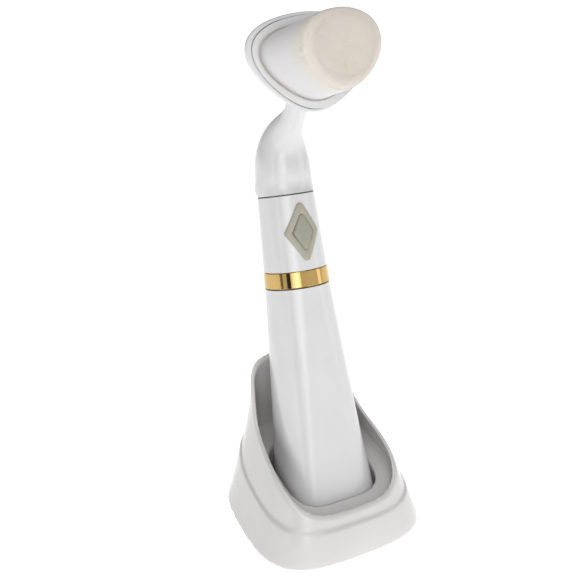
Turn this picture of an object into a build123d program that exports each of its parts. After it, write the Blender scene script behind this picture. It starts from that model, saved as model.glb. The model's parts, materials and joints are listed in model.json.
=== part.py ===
from build123d import *
from math import cos, hypot, pi, radians, sin, tan
import os

# Facial cleansing brush standing in its stand.  Millimetres, +Z up, front of the brush towards -Y.
# The origin is the middle of the stand's footprint, on the surface the stand rests on.

# Handle line: leans back from the vertical, measured along the handle from its foot.
LEAN = 17.3
FOOT_Y = -2.5
FOOT_Z = 7.4
LIFT_TILT = 4.0
BODY_GAP = 0.3

# Handle outside: half width against height, nearly round on top and squarish at the foot.
FOOT_HALF = 18.1
FOOT_TAPER = 0.07436
FOOT_CURVE = 0.000127
FOOT_ROUNDING = 1.3
FOOT_POWER = 3.5
COVER_WALL = 1.8
COVER_FLOOR = 2.0
RING_LOW = 86.5
RING_HIGH = 92.9
RING_PROUD = 0.12
RING_EDGE = 0.4
RING_BED = 11.2
MID_TOP = 121.0
MID_WALL = 1.6
SPIGOT_LOW = 79.0
SPIGOT_EASE = 0.5
SPIGOT_WALL = 1.2
SPIGOT_FLOOR = 2.0
SEAL_THICK = 0.5
SEAL_INSET = 0.3
TOP_TUBE_WALL = 1.5
TOP_TUBE_LONG = 6.0
LEDGE_DROP = 6.7
LEDGE_THICK = 1.0
LEDGE_IN = 7.9

# Battery basket and single cell.
BASKET_LOW = 6.5
BASKET_PLATE = 1.5
CELL_EASE = 0.25
RAIL_THICK = 1.05
RAIL_HALF = 3.6
CELL_R = 7.1
CELL_LOW = 11.0
CELL_HIGH = 60.0
CELL_NUB_R = 2.75
CELL_NUB = 1.5
CONTACT_THICK = 0.4
CONTACT_HALF = 4.0
PIN_R = 1.0
SCREW_R = 0.8
SCREW_HEAD_R = 1.5
SCREW_INSET = 0.9
SMALL_SCREW_R = 0.6
SMALL_HEAD_R = 1.2
CHIP_SIZE = 3.6
CAPACITOR_R = 1.4
SOCKET_W = 8.0
SOCKET_H = 7.0
TRAY_ARM = 2.4
TRAY_EASE = 0.3
CHANNEL_EASE = 0.3
CHANNEL_DEEP = 1.2
PIN_ABOVE = 4.0
STRIP_EASE = 0.4
STRIP_THICK = 0.4
STRIP_HALF = 1.5
SLIP = 0.05

# Circuit board and switch, stacked from the tray forwards.
TRAY_BACK = 3.1
TRAY_FRONT = 4.3
BOARD_FRONT = 5.5
BOARD_HALF = 5.6
BOARD_DROP = 2.5
BOARD_SHORT = 0.3
SWITCH_FRONT = 8.6
SWITCH_HALF = 3.0
SWITCH_BORE = 1.1
PLUNGER_R = 0.8
PLUNGER_BACK = 8.0
KEY_BACK = 9.3

# Button on the front of the handle.
BUTTON_Z = 107.1
FRAME_W = 7.0
FRAME_H = 12.2
KEY_W = 4.3
KEY_H = 8.2
DIAMOND_ROUND = 1.6
FRAME_PROUD = 0.5
KEY_PROUD = 1.15

# Motor on the handle line.
CARRIER_THICK = 1.5
CAP_INSET = 0.4
CAP_THICK = 1.2
MOTOR_R = 6.0
MOTOR_LONG = 12.0
SLEEVE_THICK = 1.4
SHAFT_R = 0.75
SHAFT_OUT = 7.0
WEIGHT_R = 4.4
WEIGHT_LONG = 4.4
TERMINAL_X = 2.0
TERMINAL_R = 0.5

# Head: the brush axis points forwards and a little up.
HEAD_PITCH = 11.0
HEAD_AHEAD = 36.3
HEAD_ABOVE = 42.2
DISH_W = 22.4
DISH_H = 15.9
DISH_SKEW = 0.35
DISH_DEEP = 8.5
DISH_POCKET = 3.0
HEAD_GAP = 0.15
PLATE_W = 20.6
PLATE_H = 14.8
PLATE_PROUD = 1.2
BLOCK_W = 19.3
BLOCK_H = 12.4
BLOCK_BED = 2.0
BLOCK_SINK = 0.3
STUD_R = 3.4
STUD_LONG = 2.6
TUFT_LONG = 22.5
TUFT_RISE = 3.2

# Stand.
STAND_LOW = 0.4
STAND_W = 35.8
STAND_D = 33.3
STAND_POWER = 3.3
STAND_WALL = 2.4
POCKET_EASE = 0.5
POCKET_JACKET = 1.8
CAVITY_TOP = 8.0
PLATE_THICK = 0.8
PAD_THICK = 0.5

os.makedirs("parts", exist_ok=True)


def handle_half(height):
    """Half width of the handle at a height along its line."""
    return FOOT_HALF - FOOT_TAPER * height + FOOT_CURVE * height * height


def handle_power(height):
    """How square the handle is at a height: high at the foot, near 2 (round) at the top."""
    share = min(max(height - FOOT_ROUNDING, 0) / (RING_LOW - FOOT_ROUNDING), 1.0)
    return FOOT_POWER + (2 - FOOT_POWER) * share ** 0.7


HANDLE = Plane(
    origin=(0, FOOT_Y, FOOT_Z),
    x_dir=(1, 0, 0),
    z_dir=(0, sin(radians(LEAN)), cos(radians(LEAN))),
)
UPRIGHT = Plane(
    origin=(0, FOOT_Y, FOOT_Z),
    x_dir=(1, 0, 0),
    z_dir=(0, -cos(radians(LEAN)), sin(radians(LEAN))),
)
HANDLE_AXIS = Axis(HANDLE.origin, HANDLE.z_dir)
NECK_LOW = MID_TOP + SEAL_THICK
HEAD = Plane(
    origin=HANDLE.from_local_coords(Vector(0, -HEAD_AHEAD, NECK_LOW + HEAD_ABOVE)),
    x_dir=(1, 0, 0),
    z_dir=(0, -cos(radians(HEAD_PITCH)), sin(radians(HEAD_PITCH))),
)


def across(back, height, tilt=0.0):
    """Plane across the handle line, moved back and tipped forwards."""
    lean = radians(LEAN - tilt)
    spot = HANDLE.from_local_coords(Vector(0, back, height))
    return Plane(origin=spot, x_dir=(1, 0, 0), z_dir=(0, sin(lean), cos(lean)))


def facing(depth, height, side=0.0):
    """Plane facing the front of the handle, depth in front of the handle line."""
    lean = radians(LEAN)
    spot = HANDLE.from_local_coords(Vector(side, -depth, height))
    return Plane(origin=spot, x_dir=(1, 0, 0), z_dir=(0, -cos(lean), sin(lean)))


def squarish(plane, half_x, half_y, power, points=24):
    """Closed outline, an ellipse at power 2 and squarer above it."""
    ring = []
    for step in range(points):
        angle = 2 * pi * step / points
        run = abs(cos(angle) / half_x) ** power + abs(sin(angle) / half_y) ** power
        reach = run ** (-1 / power)
        ring.append((reach * cos(angle), reach * sin(angle)))
    with BuildSketch(plane) as outline:
        with BuildLine():
            Spline(*ring, periodic=True)
        make_face()
    return outline.sketch


def shield(advance, width, height, skew, rise=0.0, points=24):
    """Head outline: wide at the top and narrowing to the bottom, advance ahead of the dish rim."""
    ring = []
    for step in range(points):
        angle = 2 * pi * step / points
        x = width * sin(angle) * (1 + skew * cos(angle))
        ring.append((x, rise + height * cos(angle)))
    with BuildSketch(HEAD.offset(advance)) as outline:
        with BuildLine():
            Spline(*ring, periodic=True)
        make_face()
    return outline.sketch


def diamond(plane, half_w, half_h, rounding):
    """Upright diamond with rounded corners."""
    with BuildSketch(plane) as outline:
        with BuildLine():
            Polyline((half_w, 0), (0, half_h), (-half_w, 0), (0, -half_h), close=True)
        make_face()
        fillet(outline.vertices(), rounding)
    return outline.sketch


def handle_rings(low, high, grow, steps):
    """Handle outlines between two heights, grown or shrunk."""
    rings = []
    for step in range(steps + 1):
        height = low + (high - low) * step / steps
        half = handle_half(height) + grow
        rings.append(squarish(HANDLE.offset(height), half, half, handle_power(height)))
    return rings


def turned(low, high, grow):
    """Profile of the round upper handle between two heights, ready to turn about the handle line."""
    middle = (low + high) / 2
    edge = [(handle_half(height) + grow, height) for height in (low, middle, high)]
    with BuildSketch(UPRIGHT) as outline:
        with BuildLine():
            side = Spline(*edge)
            Polyline(side @ 1, (0, high), (0, low), side @ 0)
        make_face()
    return outline.sketch


# ---- Sizes that follow from others ----
SPIGOT_HALF = handle_half(RING_LOW) - COVER_WALL - SPIGOT_EASE
TOP_TUBE_IN = MOTOR_R + SLEEVE_THICK
TOP_TUBE_OUT = TOP_TUBE_IN + TOP_TUBE_WALL
TOP_TUBE_HIGH = MID_TOP + TOP_TUBE_LONG
LEDGE_Z = MID_TOP - LEDGE_DROP
RAIL_IN = CELL_R + CELL_EASE
RAIL_OUT = RAIL_IN + RAIL_THICK
BASKET_R = hypot(RAIL_OUT, RAIL_HALF) + 0.1
STRIP_Y = CELL_R + STRIP_EASE + STRIP_THICK
SCREW_SIDE = RAIL_IN - SCREW_HEAD_R - SCREW_INSET
BOARD_LOW = RING_LOW - BOARD_DROP
BOARD_HIGH = LEDGE_Z - BOARD_SHORT
PIN_TOP = BOARD_LOW + PIN_ABOVE
CAP_R = MOTOR_R - CAP_INSET

# ---- Lower body: the cup that covers the battery ----
COVER_TOP = RING_LOW - BODY_GAP
FOOT_EDGE = handle_half(FOOT_ROUNDING)
with BuildPart() as lower_body:
    loft(sections=handle_rings(FOOT_ROUNDING, COVER_TOP, 0, 3), ruled=False)
    rings = [squarish(HANDLE.offset(FOOT_ROUNDING), FOOT_EDGE, FOOT_EDGE, FOOT_POWER)]
    for rise, inset in ((0.5, 0.13), (0.15, 0.5), (0.0, 1.0)):
        half = FOOT_EDGE - FOOT_ROUNDING * inset
        rings.append(squarish(HANDLE.offset(FOOT_ROUNDING * rise), half, half, FOOT_POWER))
    loft(sections=rings, ruled=True)
    loft(
        sections=handle_rings(COVER_FLOOR, COVER_TOP + 1, -COVER_WALL, 3),
        ruled=False,
        mode=Mode.SUBTRACT,
    )
lower_body.part.label = "lower_body"
export_step(lower_body.part, "parts/lower_body.step")

# ---- Middle housing with the spigot that plugs into the lower body ----
SPIGOT_IN = SPIGOT_HALF - SPIGOT_WALL
SEAL_GROOVE = SPIGOT_HALF - 0.5
SEAL_LOW = SPIGOT_LOW + 3
SEAL_HIGH = SEAL_LOW + 1.2
with BuildPart() as mid_housing:
    revolve(turned(RING_HIGH, MID_TOP, 0), axis=HANDLE_AXIS)
    with BuildSketch(HANDLE.offset(SPIGOT_LOW)):
        Circle(SPIGOT_HALF)
    extrude(amount=RING_LOW - SPIGOT_LOW)
    with BuildSketch(HANDLE.offset(RING_LOW)):
        Circle(RING_BED)
    extrude(amount=RING_HIGH - RING_LOW)
    with BuildSketch(HANDLE.offset(MID_TOP)):
        Circle(TOP_TUBE_OUT)
    extrude(amount=TOP_TUBE_HIGH - MID_TOP)
    # inside, from the spigot floor up
    with BuildSketch(HANDLE.offset(SPIGOT_LOW + SPIGOT_FLOOR)):
        Circle(SPIGOT_IN)
    extrude(amount=RING_HIGH + 1 - SPIGOT_LOW - SPIGOT_FLOOR, mode=Mode.SUBTRACT)
    revolve(turned(RING_HIGH + 1, LEDGE_Z, -MID_WALL), axis=HANDLE_AXIS, mode=Mode.SUBTRACT)
    with BuildSketch(HANDLE.offset(LEDGE_Z)):
        Circle(LEDGE_IN)
    extrude(amount=LEDGE_THICK, mode=Mode.SUBTRACT)
    bay = turned(LEDGE_Z + LEDGE_THICK, MID_TOP - 1.5, -MID_WALL)
    revolve(bay, axis=HANDLE_AXIS, mode=Mode.SUBTRACT)
    with BuildSketch(HANDLE.offset(MID_TOP - 1.5)):
        Circle(TOP_TUBE_IN)
    extrude(amount=TOP_TUBE_HIGH - MID_TOP + 1.5, mode=Mode.SUBTRACT)
    # groove of the lower seal
    with BuildSketch(HANDLE.offset(SEAL_LOW)):
        Circle(SPIGOT_HALF + 1)
        Circle(SEAL_GROOVE, mode=Mode.SUBTRACT)
    extrude(amount=SEAL_HIGH - SEAL_LOW, mode=Mode.SUBTRACT)
    # diamond window of the button
    window = diamond(facing(KEY_BACK - 2, BUTTON_Z), FRAME_W, FRAME_H, DIAMOND_ROUND)
    extrude(window, amount=FRAME_H, mode=Mode.SUBTRACT)
    # holes in the spigot floor: battery pin, return strip, two screws
    with BuildSketch(HANDLE.offset(SPIGOT_LOW)):
        Circle(PIN_R + SLIP)
        with Locations((0, -STRIP_Y + STRIP_THICK / 2)):
            Rectangle(2 * STRIP_HALF + 2 * SLIP, STRIP_THICK + 2 * SLIP)
        with Locations((-SCREW_SIDE, 0), (SCREW_SIDE, 0)):
            Circle(SCREW_R + SLIP)
    extrude(amount=SPIGOT_FLOOR, mode=Mode.SUBTRACT)
mid_housing.part.label = "mid_housing"
export_step(mid_housing.part, "parts/mid_housing.step")

with BuildPart() as seal_lower:
    with BuildSketch(HANDLE.offset(SEAL_LOW)):
        Circle(SPIGOT_HALF + 0.1)
        Circle(SEAL_GROOVE, mode=Mode.SUBTRACT)
    extrude(amount=SEAL_HIGH - SEAL_LOW)
seal_lower.part.label = "seal_lower"
export_step(seal_lower.part, "parts/seal_lower.step")

with BuildPart() as seal_upper:
    seal_half = handle_half(MID_TOP) - SEAL_INSET
    with BuildSketch(HANDLE.offset(MID_TOP)):
        Circle(seal_half)
    extrude(amount=SEAL_THICK)
    with BuildSketch(HANDLE.offset(MID_TOP)):
        Circle(TOP_TUBE_OUT)
    extrude(amount=SEAL_THICK, mode=Mode.SUBTRACT)
seal_upper.part.label = "seal_upper"
export_step(seal_upper.part, "parts/seal_upper.step")

# ---- Metal ring round the joint ----
with BuildPart() as gold_ring:
    low_half = handle_half(RING_LOW)
    high_half = handle_half(RING_HIGH)
    with BuildSketch(UPRIGHT):
        with BuildLine():
            Polyline(
                (RING_BED, RING_LOW),
                (low_half - RING_EDGE / 2, RING_LOW),
                (low_half + RING_PROUD, RING_LOW + RING_EDGE),
                (high_half + RING_PROUD, RING_HIGH - RING_EDGE),
                (high_half - RING_EDGE / 2, RING_HIGH),
                (RING_BED, RING_HIGH),
                close=True,
            )
        make_face()
    revolve(axis=HANDLE_AXIS)
gold_ring.part.label = "gold_ring"
export_step(gold_ring.part, "parts/gold_ring.step")

# ---- Button: soft diamond frame and the raised key inside it ----
with BuildPart() as button_frame:
    revolve(turned(RING_HIGH, MID_TOP, FRAME_PROUD), axis=HANDLE_AXIS)
    revolve(turned(RING_HIGH - 1, MID_TOP + 1, -MID_WALL), axis=HANDLE_AXIS, mode=Mode.SUBTRACT)
    pane = diamond(facing(KEY_BACK - 2, BUTTON_Z), FRAME_W, FRAME_H, DIAMOND_ROUND)
    extrude(pane, amount=FRAME_H, mode=Mode.INTERSECT)
    hole_w = KEY_W + BODY_GAP
    hole_h = KEY_H + BODY_GAP * KEY_H / KEY_W
    hole = diamond(facing(0, BUTTON_Z), hole_w, hole_h, DIAMOND_ROUND * 0.8)
    extrude(hole, amount=FRAME_H * 2, mode=Mode.SUBTRACT)
button_frame.part.label = "button_frame"
export_step(button_frame.part, "parts/button_frame.step")

with BuildPart() as button_key:
    revolve(turned(RING_HIGH, MID_TOP, KEY_PROUD), axis=HANDLE_AXIS)
    pane = diamond(facing(KEY_BACK, BUTTON_Z), KEY_W, KEY_H, DIAMOND_ROUND * 0.7)
    extrude(pane, amount=FRAME_H, mode=Mode.INTERSECT)
button_key.part.label = "button_key"
export_step(button_key.part, "parts/button_key.step")

with BuildPart() as switch_plunger:
    with BuildSketch(facing(PLUNGER_BACK, BUTTON_Z)):
        Circle(PLUNGER_R)
    extrude(amount=KEY_BACK - PLUNGER_BACK)
switch_plunger.part.label = "switch_plunger"
export_step(switch_plunger.part, "parts/switch_plunger.step")

# ---- Electronics ----
with BuildPart() as switch_body:
    with BuildSketch(facing(BOARD_FRONT, BUTTON_Z)):
        Rectangle(2 * SWITCH_HALF, 2 * SWITCH_HALF)
    extrude(amount=SWITCH_FRONT - BOARD_FRONT)
    with BuildSketch(facing(BOARD_FRONT + 0.6, BUTTON_Z)):
        Circle(SWITCH_BORE)
    extrude(amount=SWITCH_FRONT - BOARD_FRONT, mode=Mode.SUBTRACT)
switch_body.part.label = "switch_body"
export_step(switch_body.part, "parts/switch_body.step")

SCREW_ROWS = (BOARD_HIGH - 2, BOARD_LOW + 7)
with BuildPart() as circuit_board:
    with BuildSketch(facing(TRAY_FRONT, (BOARD_LOW + BOARD_HIGH) / 2)):
        Rectangle(2 * BOARD_HALF, BOARD_HIGH - BOARD_LOW)
    extrude(amount=BOARD_FRONT - TRAY_FRONT)
    for row in SCREW_ROWS:
        with BuildSketch(facing(TRAY_FRONT, row)):
            Circle(SMALL_SCREW_R + SLIP)
        extrude(amount=BOARD_FRONT - TRAY_FRONT, mode=Mode.SUBTRACT)
circuit_board.part.label = "circuit_board"
export_step(circuit_board.part, "parts/circuit_board.step")

TRAY_LOW = SPIGOT_LOW + SPIGOT_FLOOR
with BuildPart() as board_tray:
    with BuildSketch(facing(TRAY_BACK, (TRAY_LOW + LEDGE_Z) / 2)):
        Rectangle(2 * BOARD_HALF, LEDGE_Z - TRAY_LOW)
    extrude(amount=TRAY_FRONT - TRAY_BACK)
    with BuildSketch(HANDLE.offset(LEDGE_Z - 1)):
        with Locations((0, -TRAY_BACK + 1.2)):
            Rectangle(2 * LEDGE_IN + TRAY_EASE, TRAY_ARM)
    extrude(amount=1)
    for row in SCREW_ROWS:
        with BuildSketch(facing(TRAY_BACK + 0.2, row)):
            Circle(SMALL_SCREW_R + SLIP)
        extrude(amount=TRAY_FRONT - TRAY_BACK, mode=Mode.SUBTRACT)
board_tray.part.label = "board_tray"
export_step(board_tray.part, "parts/board_tray.step")

with BuildPart() as board_screw_upper:
    with BuildSketch(facing(TRAY_BACK + 0.3, SCREW_ROWS[0])):
        Circle(SMALL_SCREW_R)
    extrude(amount=BOARD_FRONT - TRAY_BACK - 0.3)
    with BuildSketch(facing(BOARD_FRONT, SCREW_ROWS[0])):
        Circle(SMALL_HEAD_R)
    extrude(amount=0.7)
board_screw_upper.part.label = "board_screw_upper"
export_step(board_screw_upper.part, "parts/board_screw_upper.step")

with BuildPart() as board_screw_lower:
    with BuildSketch(facing(TRAY_BACK + 0.3, SCREW_ROWS[1])):
        Circle(SMALL_SCREW_R)
    extrude(amount=BOARD_FRONT - TRAY_BACK - 0.3)
    with BuildSketch(facing(BOARD_FRONT, SCREW_ROWS[1])):
        Circle(SMALL_HEAD_R)
    extrude(amount=0.7)
board_screw_lower.part.label = "board_screw_lower"
export_step(board_screw_lower.part, "parts/board_screw_lower.step")

with BuildPart() as controller_chip:
    with BuildSketch(facing(BOARD_FRONT, BOARD_LOW + 13)):
        Rectangle(CHIP_SIZE, CHIP_SIZE)
    extrude(amount=0.9)
controller_chip.part.label = "controller_chip"
export_step(controller_chip.part, "parts/controller_chip.step")

with BuildPart() as capacitor:
    with BuildSketch(facing(BOARD_FRONT, BOARD_LOW + 13, 4.0)):
        Circle(CAPACITOR_R)
    extrude(amount=1.8)
capacitor.part.label = "capacitor"
export_step(capacitor.part, "parts/capacitor.step")

SOCKET_LOW = SPIGOT_LOW + SPIGOT_FLOOR + 2
with BuildPart() as supply_socket:
    with BuildSketch(facing(-2.5, SOCKET_LOW + 3.5)):
        Rectangle(SOCKET_W, SOCKET_H)
    extrude(amount=TRAY_BACK + 2.5)
    with BuildSketch(HANDLE.offset(SOCKET_LOW)):
        Circle(PIN_R + SLIP)
    extrude(amount=PIN_TOP - SOCKET_LOW, mode=Mode.SUBTRACT)
supply_socket.part.label = "supply_socket"
export_step(supply_socket.part, "parts/supply_socket.step")

# ---- Battery basket, cell and contacts ----
BASKET_TOP = CELL_HIGH + CELL_NUB + CONTACT_THICK
with BuildPart() as battery_basket:
    with BuildSketch(HANDLE.offset(BASKET_LOW)):
        Circle(BASKET_R)
    extrude(amount=BASKET_PLATE)
    with BuildSketch(HANDLE.offset(BASKET_LOW)):
        with Locations((0, (RAIL_IN + RAIL_OUT) / 2)):
            Rectangle(2 * RAIL_HALF, RAIL_OUT - RAIL_IN)
        with Locations((-(RAIL_IN + RAIL_OUT) / 2, 0), ((RAIL_IN + RAIL_OUT) / 2, 0)):
            Rectangle(RAIL_OUT - RAIL_IN, 2 * RAIL_HALF)
    extrude(amount=SPIGOT_LOW - BASKET_LOW)
    with BuildSketch(HANDLE.offset(BASKET_TOP)):
        Circle(BASKET_R)
        Circle(PIN_R + SLIP, mode=Mode.SUBTRACT)
    extrude(amount=BASKET_PLATE)
    with BuildSketch(HANDLE.offset(SPIGOT_LOW - BASKET_PLATE)):
        Circle(BASKET_R)
        Circle(PIN_R + SLIP, mode=Mode.SUBTRACT)
        with Locations((-SCREW_SIDE, 0), (SCREW_SIDE, 0)):
            Circle(SCREW_R + SLIP, mode=Mode.SUBTRACT)
    extrude(amount=BASKET_PLATE)
    # channel of the return strip down the front
    with BuildSketch(HANDLE.offset(BASKET_LOW + BASKET_PLATE)):
        with Locations((0, -STRIP_Y)):
            Rectangle(2 * STRIP_HALF + 2 * CHANNEL_EASE, CHANNEL_DEEP)
    extrude(amount=SPIGOT_LOW - BASKET_LOW, mode=Mode.SUBTRACT)
battery_basket.part.label = "battery_basket"
export_step(battery_basket.part, "parts/battery_basket.step")

with BuildPart() as basket_screw_left:
    with BuildSketch(HANDLE.offset(SPIGOT_LOW - BASKET_PLATE - 1)):
        with Locations((-SCREW_SIDE, 0)):
            Circle(SCREW_HEAD_R)
    extrude(amount=1)
    with BuildSketch(HANDLE.offset(SPIGOT_LOW - BASKET_PLATE)):
        with Locations((-SCREW_SIDE, 0)):
            Circle(SCREW_R)
    extrude(amount=BASKET_PLATE + SPIGOT_FLOOR)
basket_screw_left.part.label = "basket_screw_left"
export_step(basket_screw_left.part, "parts/basket_screw_left.step")

with BuildPart() as basket_screw_right:
    with BuildSketch(HANDLE.offset(SPIGOT_LOW - BASKET_PLATE - 1)):
        with Locations((SCREW_SIDE, 0)):
            Circle(SCREW_HEAD_R)
    extrude(amount=1)
    with BuildSketch(HANDLE.offset(SPIGOT_LOW - BASKET_PLATE)):
        with Locations((SCREW_SIDE, 0)):
            Circle(SCREW_R)
    extrude(amount=BASKET_PLATE + SPIGOT_FLOOR)
basket_screw_right.part.label = "basket_screw_right"
export_step(basket_screw_right.part, "parts/basket_screw_right.step")

with BuildPart() as battery_cell:
    with BuildSketch(HANDLE.offset(CELL_LOW)):
        Circle(CELL_R)
    extrude(amount=CELL_HIGH - CELL_LOW)
    chamfer(battery_cell.edges().filter_by(GeomType.CIRCLE), 0.5)
    with BuildSketch(HANDLE.offset(CELL_HIGH)):
        Circle(CELL_NUB_R)
    extrude(amount=CELL_NUB)
battery_cell.part.label = "battery_cell"
export_step(battery_cell.part, "parts/battery_cell.step")

with BuildPart() as contact_pin:
    with BuildSketch(HANDLE.offset(CELL_HIGH + CELL_NUB)):
        Circle(CONTACT_HALF)
    extrude(amount=CONTACT_THICK)
    with BuildSketch(HANDLE.offset(BASKET_TOP)):
        Circle(PIN_R)
    extrude(amount=PIN_TOP - BASKET_TOP)
contact_pin.part.label = "contact_pin"
export_step(contact_pin.part, "parts/contact_pin.step")

SPRING_BED = BASKET_LOW + BASKET_PLATE
with BuildPart() as return_strip:
    with BuildSketch(HANDLE.offset(SPRING_BED)):
        Rectangle(2 * CONTACT_HALF, 2 * CONTACT_HALF)
        with Locations((0, -(STRIP_Y + CONTACT_HALF) / 2)):
            Rectangle(2 * STRIP_HALF, STRIP_Y - CONTACT_HALF)
    extrude(amount=CONTACT_THICK)
    with BuildSketch(HANDLE.offset(SPRING_BED)):
        with Locations((0, -STRIP_Y + STRIP_THICK / 2)):
            Rectangle(2 * STRIP_HALF, STRIP_THICK)
    extrude(amount=PIN_TOP - SPRING_BED)
    with BuildSketch(HANDLE.offset(PIN_TOP - STRIP_THICK)):
        with Locations((0, -(STRIP_Y + BOARD_FRONT) / 2)):
            Rectangle(2 * STRIP_HALF, STRIP_Y - BOARD_FRONT)
    extrude(amount=STRIP_THICK)
return_strip.part.label = "return_strip"
export_step(return_strip.part, "parts/return_strip.step")

COIL_WIRE = 0.35
COIL_R = 2.4
COIL_LOW = SPRING_BED + CONTACT_THICK + COIL_WIRE + 0.02
COIL_HIGH = CELL_LOW - COIL_WIRE
with BuildPart() as contact_spring:
    with BuildLine(HANDLE.offset(COIL_LOW)) as coil:
        Helix(pitch=(COIL_HIGH - COIL_LOW) / 2, height=COIL_HIGH - COIL_LOW, radius=COIL_R)
    with BuildSketch(Plane(origin=coil.line @ 0, z_dir=coil.line % 0)):
        Circle(COIL_WIRE)
    sweep()
contact_spring.part.label = "contact_spring"
export_step(contact_spring.part, "parts/contact_spring.step")

# ---- Motor ----
CARRIER_LOW = LEDGE_Z + LEDGE_THICK
CAP_LOW = CARRIER_LOW + CARRIER_THICK
MOTOR_LOW = CAP_LOW + CAP_THICK
MOTOR_HIGH = MOTOR_LOW + MOTOR_LONG
with BuildPart() as motor_carrier:
    with BuildSketch(HANDLE.offset(CARRIER_LOW)):
        Circle(handle_half(CARRIER_LOW) - MID_WALL - 0.15)
        with Locations((-TERMINAL_X, -(TRAY_FRONT + BOARD_FRONT) / 2)):
            Circle(TERMINAL_R + SLIP, mode=Mode.SUBTRACT)
        with Locations((TERMINAL_X, -(TRAY_FRONT + BOARD_FRONT) / 2)):
            Circle(TERMINAL_R + SLIP, mode=Mode.SUBTRACT)
    extrude(amount=CARRIER_THICK)
motor_carrier.part.label = "motor_carrier"
export_step(motor_carrier.part, "parts/motor_carrier.step")

with BuildPart() as motor_end_cap:
    with BuildSketch(HANDLE.offset(CAP_LOW)):
        Circle(CAP_R)
    extrude(amount=CAP_THICK)
motor_end_cap.part.label = "motor_end_cap"
export_step(motor_end_cap.part, "parts/motor_end_cap.step")

with BuildPart() as motor_can:
    with BuildSketch(HANDLE.offset(MOTOR_LOW)):
        Circle(MOTOR_R)
    extrude(amount=MOTOR_LONG)
    with BuildSketch(HANDLE.offset(MOTOR_HIGH - 2)):
        Circle(SHAFT_R + BODY_GAP)
    extrude(amount=2, mode=Mode.SUBTRACT)
motor_can.part.label = "motor_can"
export_step(motor_can.part, "parts/motor_can.step")

with BuildPart() as motor_sleeve:
    with BuildSketch(HANDLE.offset(MOTOR_LOW + 2)):
        Circle(TOP_TUBE_IN)
        Circle(MOTOR_R, mode=Mode.SUBTRACT)
    extrude(amount=TOP_TUBE_HIGH - MOTOR_LOW - 1)
motor_sleeve.part.label = "motor_sleeve"
export_step(motor_sleeve.part, "parts/motor_sleeve.step")

with BuildPart() as motor_shaft:
    with BuildSketch(HANDLE.offset(MOTOR_HIGH - 2 + BODY_GAP)):
        Circle(SHAFT_R)
    extrude(amount=SHAFT_OUT + 2 - BODY_GAP)
motor_shaft.part.label = "motor_shaft"
export_step(motor_shaft.part, "parts/motor_shaft.step")

WEIGHT_LOW = MOTOR_HIGH + 1.5
with BuildPart() as eccentric_weight:
    with BuildSketch(HANDLE.offset(WEIGHT_LOW)):
        Circle(WEIGHT_R)
        with Locations((0, WEIGHT_R / 2 + 1.6)):
            Rectangle(2 * WEIGHT_R, WEIGHT_R, mode=Mode.SUBTRACT)
        Circle(SHAFT_R, mode=Mode.SUBTRACT)
    extrude(amount=WEIGHT_LONG)
eccentric_weight.part.label = "eccentric_weight"
export_step(eccentric_weight.part, "parts/eccentric_weight.step")

TERMINAL_LONG = CAP_LOW - BOARD_HIGH
with BuildPart() as motor_terminal_left:
    with BuildSketch(HANDLE.offset(BOARD_HIGH)):
        with Locations((-TERMINAL_X, -(TRAY_FRONT + BOARD_FRONT) / 2)):
            Circle(TERMINAL_R)
    extrude(amount=TERMINAL_LONG)
motor_terminal_left.part.label = "motor_terminal_left"
export_step(motor_terminal_left.part, "parts/motor_terminal_left.step")

with BuildPart() as motor_terminal_right:
    with BuildSketch(HANDLE.offset(BOARD_HIGH)):
        with Locations((TERMINAL_X, -(TRAY_FRONT + BOARD_FRONT) / 2)):
            Circle(TERMINAL_R)
    extrude(amount=TERMINAL_LONG)
motor_terminal_right.part.label = "motor_terminal_right"
export_step(motor_terminal_right.part, "parts/motor_terminal_right.step")

# ---- Neck shell: shoulder, forward bent neck and the dish that carries the brush ----
neck_half = handle_half(NECK_LOW)
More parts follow.
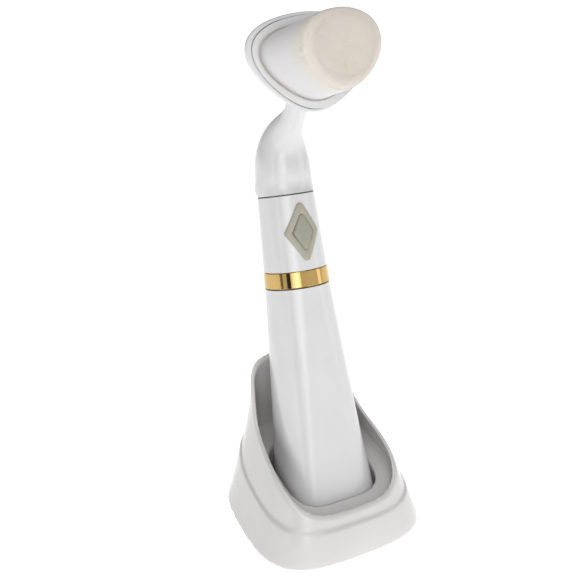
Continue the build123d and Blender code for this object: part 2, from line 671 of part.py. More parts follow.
# how far back, height above the joint, tipped forwards, half width, half depth
NECK_STATIONS = (
    (0.0, 0.0, 0, neck_half, neck_half),
    (0.0, 6.5, 0, 10.8, 10.8),
    (-0.7, 12.5, 8, 10.3, 10.4),
    (-2.4, 18.0, 22, 8.9, 9.3),
    (-6.2, 22.1, 38, 6.9, 7.6),
    (-11.5, 25.1, 50, 5.2, 5.5),
    (-17.3, 28.4, 52, 4.1, 4.2),
    (-22.0, 32.7, 48, 4.7, 4.5),
    (-26.6, 37.7, 52, 6.2, 5.2),
    (-31.5, 41.1, 70, 7.6, 5.6),
)
with BuildPart() as neck_shell:
    rings = []
    for back, rise, tilt, half_x, half_y in NECK_STATIONS:
        rings.append(squarish(across(back, NECK_LOW + rise, tilt), half_x, half_y, 2))
    loft(sections=rings, ruled=False)
    loft(
        sections=[
            shield(-DISH_DEEP, DISH_W * 0.42, DISH_H * 0.5, DISH_SKEW, 0.5),
            shield(-DISH_DEEP + 1.0, DISH_W * 0.64, DISH_H * 0.68, DISH_SKEW, 0.3),
            shield(-DISH_DEEP + 3.2, DISH_W * 0.86, DISH_H * 0.87, DISH_SKEW),
            shield(-2.0, DISH_W * 0.99, DISH_H * 0.99, DISH_SKEW),
            shield(-0.7, DISH_W, DISH_H, DISH_SKEW),
            shield(0, DISH_W * 0.985, DISH_H * 0.98, DISH_SKEW),
        ],
        ruled=False,
    )
    pocket = shield(-DISH_POCKET, PLATE_W + HEAD_GAP, PLATE_H + HEAD_GAP, DISH_SKEW)
    extrude(pocket, amount=DISH_POCKET + 1, mode=Mode.SUBTRACT)
    with BuildSketch(HEAD.offset(-DISH_POCKET - STUD_LONG - BODY_GAP)):
        Circle(STUD_R + BODY_GAP)
    extrude(amount=STUD_LONG + 1, mode=Mode.SUBTRACT)
    # room for the motor and its weight
    with BuildSketch(HANDLE.offset(NECK_LOW)):
        Circle(TOP_TUBE_OUT + SLIP)
    extrude(amount=TOP_TUBE_HIGH - NECK_LOW + 1, mode=Mode.SUBTRACT)
    with BuildSketch(HANDLE.offset(TOP_TUBE_HIGH)):
        Circle(TOP_TUBE_IN + 0.6)
    extrude(amount=MOTOR_HIGH - TOP_TUBE_HIGH + 1, mode=Mode.SUBTRACT)
    with BuildSketch(HANDLE.offset(MOTOR_HIGH)):
        Circle(WEIGHT_R + 1)
    extrude(amount=SHAFT_OUT + 1, mode=Mode.SUBTRACT)
neck_shell.part.label = "neck_shell"
export_step(neck_shell.part, "parts/neck_shell.step")

# ---- Brush: carrier plate, resin block and the bristles ----
with BuildPart() as brush_plate:
    back_face = shield(-DISH_POCKET + BODY_GAP, PLATE_W, PLATE_H, DISH_SKEW)
    extrude(back_face, amount=DISH_POCKET - BODY_GAP + PLATE_PROUD)
    with BuildSketch(HEAD.offset(-DISH_POCKET + BODY_GAP - STUD_LONG)):
        Circle(STUD_R)
    extrude(amount=STUD_LONG)
    bed = shield(PLATE_PROUD - BLOCK_BED, BLOCK_W, BLOCK_H, DISH_SKEW)
    extrude(bed, amount=BLOCK_BED, mode=Mode.SUBTRACT)
brush_plate.part.label = "brush_plate"
export_step(brush_plate.part, "parts/brush_plate.step")

with BuildPart() as tuft_block:
    base = shield(PLATE_PROUD - BLOCK_BED, BLOCK_W - SLIP, BLOCK_H - SLIP, DISH_SKEW)
    extrude(base, amount=BLOCK_BED - BLOCK_SINK)
tuft_block.part.label = "tuft_block"
export_step(tuft_block.part, "parts/tuft_block.step")

TUFT_LOW = PLATE_PROUD - BLOCK_SINK
with BuildPart() as bristle_tuft:
    loft(
        sections=[
            shield(TUFT_LOW, BLOCK_W * 0.965, BLOCK_H * 0.96, DISH_SKEW),
            shield(TUFT_LOW + TUFT_LONG * 0.3, BLOCK_W * 0.89, BLOCK_H * 0.97, 0.28, TUFT_RISE * 0.3),
            shield(TUFT_LOW + TUFT_LONG * 0.6, BLOCK_W * 0.79, BLOCK_H * 0.97, 0.21, TUFT_RISE * 0.65),
            shield(TUFT_LOW + TUFT_LONG * 0.85, BLOCK_W * 0.69, BLOCK_H * 0.95, 0.15, TUFT_RISE * 0.9),
            shield(TUFT_LOW + TUFT_LONG * 0.95, BLOCK_W * 0.64, BLOCK_H * 0.89, 0.13, TUFT_RISE),
            shield(TUFT_LOW + TUFT_LONG, BLOCK_W * 0.53, BLOCK_H * 0.74, 0.12, TUFT_RISE),
        ],
        ruled=False,
    )
bristle_tuft.part.label = "bristle_tuft"
export_step(bristle_tuft.part, "parts/bristle_tuft.step")

# ---- Stand ----
# height, half width, front, rear, how square
SKIRT_STATIONS = (
    (STAND_LOW, STAND_W, -STAND_D, STAND_D, STAND_POWER),
    (8.0, STAND_W - 3.0, -STAND_D + 1.5, STAND_D, STAND_POWER),
    (16.0, STAND_W - 5.6, -STAND_D + 4.4, STAND_D, STAND_POWER),
    (24.0, STAND_W - 7.8, -STAND_D + 7.7, STAND_D, STAND_POWER),
    (36.0, STAND_W - 10.2, -STAND_D + 12.0, STAND_D - 0.2, STAND_POWER),
)
SLEEVE_STATIONS = (
    (STAND_LOW, STAND_W - 1.8, -STAND_D + 1.4, STAND_D - 0.8, STAND_POWER),
    (8.0, STAND_W - 4.1, -STAND_D + 2.6, STAND_D - 0.9, STAND_POWER),
    (16.0, STAND_W - 6.4, -STAND_D + 5.3, STAND_D - 0.7, STAND_POWER),
    (26.0, STAND_W - 9.6, -STAND_D + 9.0, STAND_D - 0.5, 3.4),
    (44.0, STAND_W - 13.8, -STAND_D + 16.2, STAND_D - 0.7, 3.6),
    (64.0, STAND_W - 14.6, -STAND_D + 20.0, STAND_D - 2.4, 3.8),
)
RIM_WALL = 1.6


def footprint(height, half_x, front, rear, power, shrink):
    """Level outline of the stand, given its front and rear."""
    middle = Plane(origin=(0, (front + rear) / 2, height))
    return squarish(middle, half_x - shrink, (rear - front) / 2 - shrink, power)


with BuildPart() as pocket_jacket:
    foot = FOOT_HALF + POCKET_EASE
    shift = -100 * tan(radians(LIFT_TILT))
    loft(
        sections=[
            squarish(across(0, -1.3), foot + POCKET_JACKET, foot + POCKET_JACKET, FOOT_POWER),
            squarish(across(shift, 98.7), foot + POCKET_JACKET, foot + POCKET_JACKET, FOOT_POWER),
        ],
        ruled=True,
    )

with BuildPart() as stand_cavity:
    loft(
        sections=[
            squarish(
                Plane.XY.offset(STAND_LOW),
                STAND_W - STAND_WALL - 1.6,
                STAND_D - STAND_WALL - 1.6,
                STAND_POWER,
            ),
            squarish(
                Plane.XY.offset(CAVITY_TOP),
                STAND_W - STAND_WALL - 6.4,
                STAND_D - STAND_WALL - 5.0,
                STAND_POWER,
            ),
        ],
        ruled=True,
    )
    add(pocket_jacket.part, mode=Mode.SUBTRACT)

with BuildPart() as skirt:
    rings = []
    for height, half_x, front, rear, power in SKIRT_STATIONS:
        rings.append(footprint(height, half_x, front, rear, power, 0))
    loft(sections=rings, ruled=False)
    # crease between skirt and sleeve, rising to the back
    with BuildSketch(Plane.YZ.offset(-STAND_W * 1.5)) as above_crease:
        with BuildLine():
            crease = Spline((-40, 13), (-25.8, 13.8), (-9.2, 15.2), (3.7, 16.4), (12.9, 18.2), (18.4, 20.2), (40, 26))
            Polyline(crease @ 1, (40, 80), (-40, 80), crease @ 0)
        make_face()
    extrude(amount=STAND_W * 3, mode=Mode.SUBTRACT)

with BuildPart() as stand_shell:
    rings = []
    for height, half_x, front, rear, power in SLEEVE_STATIONS:
        rings.append(footprint(height, half_x, front, rear, power, 0))
    loft(sections=rings, ruled=False)
    # sweeping rim, low at the front and high at the back
    with BuildSketch(Plane.YZ.offset(-STAND_W * 1.5)) as above_rim:
        with BuildLine():
            rim = Spline(
                (-40, 14),
                (-23.9, 19.4),
                (-16.6, 24.2),
                (-5.0, 29.6),
                (5.5, 33.0),
                (14.7, 38.4),
                (22.0, 48.0),
                (30.0, 56.2),
                (40, 61),
            )
            Polyline(rim @ 1, (40, 90), (-40, 90), rim @ 0)
        make_face()
    extrude(amount=STAND_W * 3, mode=Mode.SUBTRACT)
    add(skirt.part)
    # well inside the rim, down to the ledge round the pocket
    with BuildSketch(Plane.YZ.offset(-STAND_W * 1.5)) as above_ledge:
        with BuildLine():
            ledge = Spline(
                (-40, 14.0),
                (-24.0, 16.2),
                (-19.5, 16.9),
                (-14.5, 17.7),
                (-4.0, 19.2),
                (6.0, 20.4),
                (14.0, 21.2),
                (24.0, 22.0),
                (40, 23.0),
            )
            Polyline(ledge @ 1, (40, 90), (-40, 90), ledge @ 0)
        make_face()
    well_cut = extrude(amount=STAND_W * 3, mode=Mode.PRIVATE)
    rings = []
    for height, half_x, front, rear, power in SLEEVE_STATIONS:
        rings.append(footprint(height, half_x, front, rear, power, RIM_WALL))
    well = loft(sections=rings, ruled=False, mode=Mode.PRIVATE)
    add(well & well_cut, mode=Mode.SUBTRACT)
    # pocket that takes the foot of the handle
    loft(
        sections=[
            squarish(across(0, -BODY_GAP), foot - FOOT_ROUNDING, foot - FOOT_ROUNDING, FOOT_POWER),
            squarish(across(0, FOOT_ROUNDING), foot, foot, FOOT_POWER),
            squarish(across(shift, 100 - BODY_GAP), foot, foot, FOOT_POWER),
        ],
        ruled=True,
        mode=Mode.SUBTRACT,
    )
    add(stand_cavity.part, mode=Mode.SUBTRACT)
    # bed of the base plate
    bed = squarish(
        Plane.XY.offset(STAND_LOW),
        STAND_W - STAND_WALL + SLIP,
        STAND_D - STAND_WALL + SLIP,
        STAND_POWER,
    )
    extrude(bed, amount=PAD_THICK - STAND_LOW + PLATE_THICK, mode=Mode.SUBTRACT)
stand_shell.part.label = "stand_shell"
export_step(stand_shell.part, "parts/stand_shell.step")

with BuildPart() as stand_base_plate:
    sheet = squarish(
        Plane.XY.offset(PAD_THICK),
        STAND_W - STAND_WALL,
        STAND_D - STAND_WALL,
        STAND_POWER,
    )
    extrude(sheet, amount=PLATE_THICK)
stand_base_plate.part.label = "stand_base_plate"
export_step(stand_base_plate.part, "parts/stand_base_plate.step")

with BuildPart() as base_pad:
    sheet = squarish(Plane.XY, STAND_W - STAND_WALL - 3, STAND_D - STAND_WALL - 3, STAND_POWER)
    extrude(sheet, amount=PAD_THICK)
base_pad.part.label = "base_pad"
export_step(base_pad.part, "parts/base_pad.step")
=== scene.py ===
import json
import math
import random

import bmesh
import bpy
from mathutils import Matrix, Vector


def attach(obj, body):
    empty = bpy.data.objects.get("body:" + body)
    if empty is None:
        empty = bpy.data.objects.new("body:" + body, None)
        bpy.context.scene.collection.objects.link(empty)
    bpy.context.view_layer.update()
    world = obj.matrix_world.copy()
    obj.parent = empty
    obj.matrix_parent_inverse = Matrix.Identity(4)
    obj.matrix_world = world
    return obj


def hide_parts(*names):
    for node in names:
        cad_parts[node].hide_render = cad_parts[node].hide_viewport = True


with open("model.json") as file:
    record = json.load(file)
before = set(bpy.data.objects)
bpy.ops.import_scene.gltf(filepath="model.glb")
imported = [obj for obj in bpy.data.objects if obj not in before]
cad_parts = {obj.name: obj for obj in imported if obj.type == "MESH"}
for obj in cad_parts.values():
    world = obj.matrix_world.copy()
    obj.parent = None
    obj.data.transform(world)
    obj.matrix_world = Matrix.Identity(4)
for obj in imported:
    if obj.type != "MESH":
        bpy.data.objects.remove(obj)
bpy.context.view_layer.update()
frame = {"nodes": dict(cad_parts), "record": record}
nodes = frame["nodes"]
random.seed(7)

# ---- Places in the shared frame, metres ----
# the head's centre and pitch are the CAD's, with the centre rounded to 0.1 mm
HEAD_PITCH = math.radians(11.0)
HEAD_CENTRE = Vector((0.0, 0.0115, 0.1745))
HEAD_OUT = Vector((0.0, -math.cos(HEAD_PITCH), math.sin(HEAD_PITCH)))
HEAD_UP = Vector((0.0, math.sin(HEAD_PITCH), math.cos(HEAD_PITCH)))
HEAD_SIDE = Vector((1.0, 0.0, 0.0))


# ---- Materials ----
# scales of the noise textures, and strength and depth of the bumps
CLOUD_SCALE = 60.0
PEEL_SCALE = 900.0
PEEL_STRENGTH = 0.04
PEEL_DEPTH = 0.0002
METAL_GRAIN = 400.0
RUBBER_GRAIN = 1500.0
RUBBER_STRENGTH = 0.25
RUBBER_DEPTH = 0.00015
STREAK_SCALE = 2600.0


def new_material(name):
    """New material, with its node tree and its shader node."""
    mat = bpy.data.materials.new(name)
    mat.use_nodes = True
    tree = mat.node_tree
    shader = next(n for n in tree.nodes if n.type == "BSDF_PRINCIPLED")
    return mat, tree, shader


def noise(tree, scale, detail=3.0):
    coords = tree.nodes.new("ShaderNodeTexCoord")
    node = tree.nodes.new("ShaderNodeTexNoise")
    node.inputs["Scale"].default_value = scale
    node.inputs["Detail"].default_value = detail
    tree.links.new(coords.outputs["Object"], node.inputs["Vector"])
    return node


def ramp(tree, source, stops):
    node = tree.nodes.new("ShaderNodeValToRGB")
    while len(node.color_ramp.elements) < len(stops):
        node.color_ramp.elements.new(0.5)
    for element, (place, colour) in zip(node.color_ramp.elements, stops):
        element.position = place
        element.color = (*colour, 1.0)
    tree.links.new(source, node.inputs["Fac"])
    return node


def mapped(tree, source, low, high):
    node = tree.nodes.new("ShaderNodeMapRange")
    node.inputs["To Min"].default_value = low
    node.inputs["To Max"].default_value = high
    tree.links.new(source, node.inputs["Value"])
    return node


def bump(tree, shader, source, strength, distance):
    node = tree.nodes.new("ShaderNodeBump")
    node.inputs["Strength"].default_value = strength
    node.inputs["Distance"].default_value = distance
    tree.links.new(source, node.inputs["Height"])
    tree.links.new(node.outputs["Normal"], shader.inputs["Normal"])


def plastic(name, dark, light, rough, coat=0.0):
    """Moulded plastic: faint cloudy colour, uneven gloss and a soft orange-peel surface."""
    mat, tree, shader = new_material(name)
    cloud = noise(tree, CLOUD_SCALE)
    tint = ramp(tree, cloud.outputs["Fac"], ((0.3, dark), (0.7, light)))
    tree.links.new(tint.outputs["Color"], shader.inputs["Base Color"])
    gloss = mapped(tree, cloud.outputs["Fac"], rough * 0.85, rough * 1.2)
    tree.links.new(gloss.outputs["Result"], shader.inputs["Roughness"])
    peel = noise(tree, PEEL_SCALE, 2.0)
    bump(tree, shader, peel.outputs["Fac"], PEEL_STRENGTH, PEEL_DEPTH)
    shader.inputs["Coat Weight"].default_value = coat
    shader.inputs["Coat Roughness"].default_value = 0.05
    return mat


def metal(name, dark, light, rough):
    """Metal with a faint change of colour and gloss over its surface."""
    mat, tree, shader = new_material(name)
    cloud = noise(tree, METAL_GRAIN)
    tint = ramp(tree, cloud.outputs["Fac"], ((0.35, dark), (0.65, light)))
    tree.links.new(tint.outputs["Color"], shader.inputs["Base Color"])
    gloss = mapped(tree, cloud.outputs["Fac"], rough * 0.7, rough * 1.3)
    tree.links.new(gloss.outputs["Result"], shader.inputs["Roughness"])
    shader.inputs["Metallic"].default_value = 1.0
    return mat


def rubber(name, dark, light, rough):
    """Rubber or silicone: fine specks that also roughen the surface."""
    mat, tree, shader = new_material(name)
    speck = noise(tree, RUBBER_GRAIN, 4.0)
    tint = ramp(tree, speck.outputs["Fac"], ((0.3, dark), (0.7, light)))
    tree.links.new(tint.outputs["Color"], shader.inputs["Base Color"])
    gloss = mapped(tree, speck.outputs["Fac"], rough * 0.9, rough * 1.1)
    tree.links.new(gloss.outputs["Result"], shader.inputs["Roughness"])
    bump(tree, shader, speck.outputs["Fac"], RUBBER_STRENGTH, RUBBER_DEPTH)
    return mat


looks = {
    "white_gloss": plastic("white_gloss", (0.66, 0.654, 0.658), (0.69, 0.684, 0.688), 0.24, 0.5),
    "stand_white": plastic("stand_white", (0.62, 0.61, 0.605), (0.65, 0.64, 0.635), 0.20, 0.5),
    "gold": metal("gold", (0.53, 0.355, 0.13), (0.57, 0.385, 0.145), 0.07),
    "key_silicone": rubber("key_silicone", (0.31, 0.30, 0.235), (0.35, 0.34, 0.27), 0.48),
    "frame_silicone": rubber("frame_silicone", (0.37, 0.35, 0.28), (0.42, 0.40, 0.32), 0.50),
    "seal_rubber": rubber("seal_rubber", (0.05, 0.05, 0.05), (0.09, 0.09, 0.09), 0.6),
    "pad_rubber": rubber("pad_rubber", (0.10, 0.10, 0.10), (0.15, 0.15, 0.15), 0.7),
    "resin": plastic("resin", (0.60, 0.57, 0.52), (0.68, 0.65, 0.60), 0.5),
    "inner_plastic": plastic("inner_plastic", (0.10, 0.10, 0.11), (0.14, 0.14, 0.15), 0.45),
    "board_green": plastic("board_green", (0.02, 0.12, 0.05), (0.03, 0.17, 0.07), 0.35),
    "chip_black": plastic("chip_black", (0.012, 0.012, 0.012), (0.02, 0.02, 0.02), 0.4),
    "steel": metal("steel", (0.52, 0.52, 0.53), (0.62, 0.62, 0.63), 0.32),
    "contact_brass": metal("contact_brass", (0.66, 0.50, 0.22), (0.76, 0.58, 0.28), 0.28),
    "cell_wrap": plastic("cell_wrap", (0.05, 0.07, 0.10), (0.07, 0.09, 0.13), 0.30),
    "motor_metal": metal("motor_metal", (0.50, 0.50, 0.51), (0.60, 0.60, 0.61), 0.30),
}
for part in frame["record"]["subparts"]:
    look = looks.get(part["material_slot"])
    if look is None:
        continue
    for holder in nodes[part["node"]].material_slots:
        holder.material = look


# ---- Bristles: a dense tuft of fine fibres on a soft inner core ----
TUFT_LOW = 0.0009
TUFT_LONG = 0.0218
TUFT_WIDE = 0.0193
TUFT_TALL = 0.0124
TUFT_RISE = 0.0032
FIBRES = 12000
FIBRE_R = 0.00008
FIBRE_LEAN = 0.0002
# how far the core ends below the fibre tips, as a share of TUFT_LONG
CORE_DEPTH = 0.018


def tuft_shape(share):
    """Half width, half height, skew and rise of the tuft outline at a share of its length."""
    wide = TUFT_WIDE * (0.965 - 0.20 * share - 0.09 * share * share)
    tall = TUFT_TALL * (0.965 + 0.02 * share)
    return wide, tall, 0.35 - 0.22 * share, TUFT_RISE * share


def tuft_point(radius, angle, share, lift):
    """Point of the tuft: radius 0 to 1 across it, share of its length for the outline, lift along it."""
    wide, tall, skew, rise = tuft_shape(share)
    x = radius * wide * math.sin(angle) * (1 + skew * math.cos(angle))
    y = rise + radius * tall * math.cos(angle)
    return HEAD_CENTRE + HEAD_SIDE * x + HEAD_UP * y + HEAD_OUT * (TUFT_LOW + lift)


def tip_height(radius):
    """Height of the fibre ends: a flat crown with well rounded edges."""
    return TUFT_LONG * (1 - 0.03 * radius ** 2 - 0.10 * radius ** 10)


def link(name, mesh):
    obj = bpy.data.objects.new(name, mesh)
    bpy.context.scene.collection.objects.link(obj)
    return obj


def make_fibres():
    """Fibres set in a sunflower pattern, each a thin three-sided prism that narrows to its tip."""
    verts = []
    faces = []
    golden = math.pi * (3 - math.sqrt(5))
    levels = (0.0, 0.35, 0.7, 0.93, 1.0)
    thick = (1.0, 1.0, 0.9, 0.65, 0.2)
    for index in range(FIBRES):
        radius = math.sqrt((index + 0.5) / FIBRES)
        angle = index * golden + random.uniform(-0.02, 0.02)
        spread = radius * (0.985 + random.uniform(-0.012, 0.004))
        tall = tip_height(radius) * (1 + random.uniform(-0.012, 0.012))
        lean = random.uniform(-FIBRE_LEAN, FIBRE_LEAN)
        sway = random.uniform(-FIBRE_LEAN, FIBRE_LEAN)
        first = len(verts)
        for level, width in zip(levels, thick):
            share = level * tall / TUFT_LONG
            middle = tuft_point(spread, angle, share, level * tall)
            middle = middle + HEAD_SIDE * (lean * level * level) + HEAD_UP * (sway * level * level)
            for corner in range(3):
                turn = 2 * math.pi * corner / 3 + angle
                verts.append(
                    middle
                    + HEAD_SIDE * (FIBRE_R * width * math.cos(turn))
                    + HEAD_UP * (FIBRE_R * width * math.sin(turn))
                )
        for row in range(len(levels) - 1):
            for corner in range(3):
                a = first + row * 3 + corner
                b = first + row * 3 + (corner + 1) % 3
                faces.append((a, b, b + 3, a + 3))
        top = first + (len(levels) - 1) * 3
        faces.append((top, top + 1, top + 2))
        faces.append((first + 2, first + 1, first))
    mesh = bpy.data.meshes.new("bristle_fibres")
    mesh.from_pydata(verts, [], faces)
    mesh.update()
    for polygon in mesh.polygons:
        polygon.use_smooth = True
    return link("bristle_fibres", mesh)


def make_core():
    """Closed core under the fibres, so that no light passes between them."""
    verts = []
    faces = []
    around = 72
    rows = []
    for share in (0.0, 0.15, 0.3, 0.45, 0.6, 0.72, 0.80):
        rows.append((1.0 - 0.01 * share, share))
    for radius in (0.97, 0.93, 0.85, 0.65, 0.4, 0.12):
        rows.append((radius, tip_height(radius) / TUFT_LONG - CORE_DEPTH))
    for radius, share in rows:
        for step in range(around):
            angle = 2 * math.pi * step / around
            verts.append(tuft_point(radius, angle, share, share * TUFT_LONG))
    for row in range(len(rows) - 1):
        for step in range(around):
            a = row * around + step
            b = row * around + (step + 1) % around
            faces.append((a, b, b + around, a + around))
    faces.append(tuple(range(around - 1, -1, -1)))
    last = (len(rows) - 1) * around
    faces.append(tuple(range(last, last + around)))
    mesh = bpy.data.meshes.new("bristle_core")
    mesh.from_pydata(verts, [], faces)
    mesh.update()
    for polygon in mesh.polygons:
        polygon.use_smooth = True
    return link("bristle_core", mesh)


def fibre_material(name, side, tip, edge):
    """White fibres that turn warm towards their ends, with fine streaks between them."""
    mat, tree, shader = new_material(name)
    coords = tree.nodes.new("ShaderNodeTexCoord")
    along = tree.nodes.new("ShaderNodeVectorMath")
    along.operation = "DOT_PRODUCT"
    tree.links.new(coords.outputs["Object"], along.inputs[0])
    along.inputs[1].default_value = HEAD_OUT
    start = HEAD_CENTRE.dot(HEAD_OUT)
    place = tree.nodes.new("ShaderNodeMapRange")
    place.inputs["From Min"].default_value = start
    place.inputs["From Max"].default_value = start + TUFT_LOW + TUFT_LONG
    tree.links.new(along.outputs["Value"], place.inputs["Value"])
    tint = ramp(tree, place.outputs["Result"], ((0.0, side), (0.60, side), (0.84, edge), (0.985, tip)))
    streak = noise(tree, STREAK_SCALE, 2.0)
    shade = mapped(tree, streak.outputs["Fac"], 0.94, 1.05)
    mix = tree.nodes.new("ShaderNodeVectorMath")
    mix.operation = "SCALE"
    tree.links.new(tint.outputs["Color"], mix.inputs[0])
    tree.links.new(shade.outputs["Result"], mix.inputs["Scale"])
    tree.links.new(mix.outputs["Vector"], shader.inputs["Base Color"])
    shader.inputs["Roughness"].default_value = 0.65
    shader.inputs["Sheen Weight"].default_value = 0.25
    shader.inputs["Sheen Roughness"].default_value = 0.4
    return mat


fibre_look = fibre_material("bristle_fibre", (0.64, 0.625, 0.635), (0.74, 0.68, 0.62), (0.65, 0.62, 0.555))
fibres = make_fibres()
core = make_core()
for piece in (fibres, core):
    piece.data.materials.append(fibre_look)
    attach(piece, "brush")
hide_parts("bristle_tuft")

# ---- Button: a soft rounded frame and a pillowed key, on the round front of the handle ----
LEAN = math.radians(17.3)
HANDLE_FOOT = Vector((0.0, -0.0025, 0.0074))
HANDLE_UP = Vector((0.0, math.sin(LEAN), math.cos(LEAN)))
HANDLE_FRONT = Vector((0.0, -math.cos(LEAN), math.sin(LEAN)))
BUTTON_Z = 0.1071
# the CAD's FOOT_HALF, FOOT_TAPER and FOOT_CURVE, for a height in millimetres
FOOT_HALF = 18.1
FOOT_TAPER = 0.07436
FOOT_CURVE = 0.000127


def handle_half(height):
    """Half width of the handle at a height along its line, as in the CAD."""
    tall = height * 1000
    return (FOOT_HALF - FOOT_TAPER * tall + FOOT_CURVE * tall * tall) / 1000


CORNER_STEPS = 8
SIDE_STEPS = 8


def kite(half_w, half_h, rounding, inset):
    """Points round an upright diamond with round corners, moved inwards by inset."""
    slope = math.hypot(half_w, half_h)
    core_w = half_w - (rounding + inset) * slope / half_h + rounding * (slope / half_h - 1) * 0.45
    core_h = core_w * half_h / half_w
    radius = max(rounding - inset * 0.35, rounding * 0.4)
    beta = math.atan2(half_w, half_h)
    corners = (
        (core_w, 0.0, -beta, beta),
        (0.0, core_h, beta, math.pi - beta),
        (-core_w, 0.0, math.pi - beta, math.pi + beta),
        (0.0, -core_h, math.pi + beta, 2 * math.pi - beta),
    )
    ring = []
    for index, (x, y, first, last) in enumerate(corners):
        for step in range(CORNER_STEPS + 1):
            angle = first + (last - first) * step / CORNER_STEPS
            ring.append((x + radius * math.cos(angle), y + radius * math.sin(angle)))
        nx, ny, start, _ = corners[(index + 1) % 4]
        here = ring[-1]
        there = (nx + radius * math.cos(start), ny + radius * math.sin(start))
        for step in range(1, SIDE_STEPS):
            share = step / SIDE_STEPS
            ring.append((here[0] + (there[0] - here[0]) * share, here[1] + (there[1] - here[1]) * share))
    return ring


def on_handle(x, y, level):
    """Point at a level above the round front of the handle, x and y from the button's middle."""
    height = BUTTON_Z + y
    half = handle_half(height)
    depth = math.sqrt(max(half * half - x * x, 0.0)) + level
    return HANDLE_FOOT + HANDLE_UP * height + HANDLE_FRONT * depth + HEAD_SIDE * x


def pad(name, half_w, half_h, rounding, loops, filled):
    """Closed soft shape from loops of (inset, level above the handle), in millimetres."""
    verts = []
    faces = []
    for inset, level in loops:
        for x, y in kite(half_w / 1000, half_h / 1000, rounding / 1000, inset / 1000):
            verts.append(on_handle(x, y, level / 1000))
    around = len(verts) // len(loops)
    rows = len(loops) if not filled else len(loops) - 1
    for row in range(rows):
        for step in range(around):
            a = row * around + step
            b = row * around + (step + 1) % around
            c = ((row + 1) % len(loops)) * around + (step + 1) % around
            d = ((row + 1) % len(loops)) * around + step
            faces.append((a, b, c, d))
    if filled:
        for first, level, flip in ((0, loops[0][1], True), (rows * around, loops[-1][1], False)):
            middle = len(verts)
            verts.append(on_handle(0.0, 0.0, level / 1000))
            for step in range(around):
                a = first + step
                b = first + (step + 1) % around
                faces.append((b, a, middle) if flip else (a, b, middle))
    mesh = bpy.data.meshes.new(name)
    mesh.from_pydata(verts, [], faces)
    mesh.update()
    shape = bmesh.new()
    shape.from_mesh(mesh)
    bmesh.ops.recalc_face_normals(shape, faces=shape.faces)
    shape.to_mesh(mesh)
    shape.free()
    for polygon in mesh.polygons:
        polygon.use_smooth = True
    return link(name, mesh)


# half width, half height and corner rounding in millimetres
FRAME_SIZE = (7.0, 12.2, 1.6)
KEY_SIZE = (4.0, 7.8, 1.1)
# inset and level of each loop in millimetres
FRAME_LOOPS = (
    (0.0, -1.2),
    (0.0, 0.2),
    (0.12, 0.5),
    (0.4, 0.66),
    (0.85, 0.72),
    (1.35, 0.68),
    (1.7, 0.5),
    (1.85, 0.1),
    (1.85, -1.2),
)
KEY_LOOPS = (
    (0.0, -1.4),
    (0.0, 0.2),
    (0.06, 0.6),
    (0.25, 0.85),
    (0.6, 1.0),
    (1.3, 1.08),
    (2.2, 1.13),
)
button_rim = pad("button_rim", *FRAME_SIZE, FRAME_LOOPS, False)
button_rim.data.materials.append(looks["frame_silicone"])
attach(button_rim, "handle")
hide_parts("button_frame")
button_top = pad("button_top", *KEY_SIZE, KEY_LOOPS, True)
button_top.data.materials.append(looks["key_silicone"])
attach(button_top, "button")
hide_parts("button_key")


# ---- Stand: the moulded shell with its edges and crease softened ----
def softened(node, name, voxel, passes):
    """Copy of a CAD shell with its sharp edges eased, as a moulded part has them."""
    obj = link(name, nodes[node].data.copy())
    remesh = obj.modifiers.new("even", "REMESH")
    remesh.mode = "VOXEL"
    remesh.voxel_size = voxel
    remesh.use_smooth_shade = True
    ease = obj.modifiers.new("ease", "SMOOTH")
    ease.factor = 0.5
    ease.iterations = passes
    bpy.context.view_layer.update()
    graph = bpy.context.evaluated_depsgraph_get()
    mesh = bpy.data.meshes.new_from_object(obj.evaluated_get(graph))
    obj.modifiers.clear()
    obj.data = mesh
    return obj


STAND_VOXEL = 0.00042
STAND_PASSES = 22
stand_moulding = softened("stand_shell", "stand_moulding", STAND_VOXEL, STAND_PASSES)
stand_moulding.data.materials.clear()
stand_moulding.data.materials.append(looks["stand_white"])
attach(stand_moulding, "stand")
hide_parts("stand_shell")

# ---- Floor, light and camera ----
FLOOR_REACH = 8.0
FLOOR_COLOUR = (0.80, 0.80, 0.80, 1)
FLOOR_GLOW = 0.80
floor_mesh = bpy.data.meshes.new("floor")
floor_corners = []
for side, end in ((-1, -1), (1, -1), (1, 1), (-1, 1)):
    floor_corners.append((side * FLOOR_REACH, end * FLOOR_REACH, 0))
floor_mesh.from_pydata(floor_corners, [], [(0, 1, 2, 3)])
floor = link("floor", floor_mesh)
floor_look, _, floor_shader = new_material("floor_white")
floor_shader.inputs["Base Color"].default_value = FLOOR_COLOUR
floor_shader.inputs["Emission Color"].default_value = (1.0, 1.0, 1.0, 1)
floor_shader.inputs["Emission Strength"].default_value = FLOOR_GLOW
floor_shader.inputs["Roughness"].default_value = 0.9
floor_mesh.materials.append(floor_look)

# studio walls: bands of grey by bearing near the horizon, one even grey above them
WORLD_STRENGTH = 0.48
world = bpy.data.worlds.new("studio")
bpy.context.scene.world = world
world.use_nodes = True
sky_tree = world.node_tree
backdrop = next(n for n in sky_tree.nodes if n.type == "BACKGROUND")
backdrop.inputs["Strength"].default_value = WORLD_STRENGTH
direction = sky_tree.nodes.new("ShaderNodeTexCoord")
split = sky_tree.nodes.new("ShaderNodeSeparateXYZ")
sky_tree.links.new(direction.outputs["Generated"], split.inputs["Vector"])
bearing = sky_tree.nodes.new("ShaderNodeMath")
bearing.operation = "ARCTAN2"
sky_tree.links.new(split.outputs["Y"], bearing.inputs[0])
sky_tree.links.new(split.outputs["X"], bearing.inputs[1])
turned = sky_tree.nodes.new("ShaderNodeMapRange")
turned.inputs["From Min"].default_value = -math.pi
turned.inputs["From Max"].default_value = math.pi
sky_tree.links.new(bearing.outputs["Value"], turned.inputs["Value"])
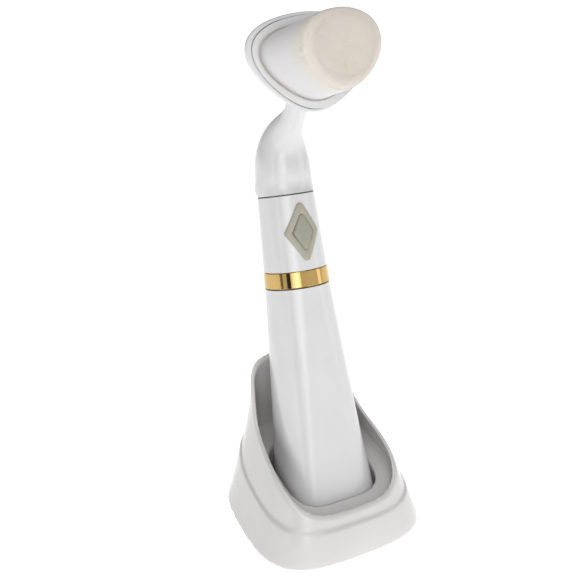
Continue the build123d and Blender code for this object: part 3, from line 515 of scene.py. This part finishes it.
WALL = (0.66, 0.66, 0.66)
DIM = (0.50, 0.50, 0.50)
DARK = (0.10, 0.10, 0.10)
LIT = (1.90, 1.90, 1.90)
FULL = (1.0, 1.0, 1.0)
NONE = (0.0, 0.0, 0.0)
OVERHEAD = (0.55, 0.55, 0.55, 1)
walls = ramp(
    sky_tree,
    turned.outputs["Result"],
    (
        (0.0, DIM),
        (0.086, DIM),
        (0.092, DARK),
        (0.136, DARK),
        (0.142, LIT),
        (0.50, LIT),
        (0.62, WALL),
        (1.0, DIM),
    ),
)
low_band = ramp(
    sky_tree,
    split.outputs["Z"],
    ((0.0, FULL), (0.26, FULL), (0.36, NONE), (1.0, NONE)),
)
blend = sky_tree.nodes.new("ShaderNodeMix")
blend.data_type = "RGBA"
blend.inputs["A"].default_value = OVERHEAD
sky_tree.links.new(low_band.outputs["Color"], blend.inputs["Factor"])
sky_tree.links.new(walls.outputs["Color"], blend.inputs["B"])
sky_tree.links.new(blend.outputs["Result"], backdrop.inputs["Color"])


def softbox(name, place, target, width, height, power):
    lamp = bpy.data.lights.new(name, "AREA")
    lamp.shape = "RECTANGLE"
    lamp.size = width
    lamp.size_y = height
    lamp.energy = power
    obj = link(name, lamp)
    obj.location = place
    aim = Vector(target) - Vector(place)
    obj.rotation_euler = aim.to_track_quat("-Z", "Y").to_euler()


MIDDLE = (0.0, 0.0, 0.09)
softbox("left_box", (-1.017, -0.417, 0.30), MIDDLE, 0.26, 1.1, 0.5)
softbox("front_box", (-0.460, -1.0, 0.34), MIDDLE, 0.26, 1.1, 1.1)
softbox("right_box", (1.0, -0.5, 0.5), MIDDLE, 0.30, 1.0, 0.8)
softbox("fill_box", (-0.47, -0.85, 0.57), MIDDLE, 0.7, 0.7, 2.0)
sky = bpy.data.lights.new("sky", "SUN")
sky.energy = 0.74
sky.angle = math.radians(40)
sky_lamp = link("sky", sky)
sky_lamp.rotation_euler = (math.radians(20), math.radians(-8), 0)

CAMERA_AT = Vector((-0.1168, -0.2133, 0.2101))
CAMERA_TO = Vector((-0.0042, 0.0209, 0.0891))
CAMERA_LENS = 46.34
lens = bpy.data.cameras.new("camera")
lens.sensor_width = 36.0
lens.lens = CAMERA_LENS
lens.clip_start = 0.01
lens.clip_end = 50.0
camera = link("camera", lens)
camera.location = CAMERA_AT
turn = (CAMERA_TO - CAMERA_AT).to_track_quat("-Z", "Y")
camera.rotation_euler = turn.to_euler()
bpy.context.scene.camera = camera
bpy.context.scene.view_settings.view_transform = "Standard"
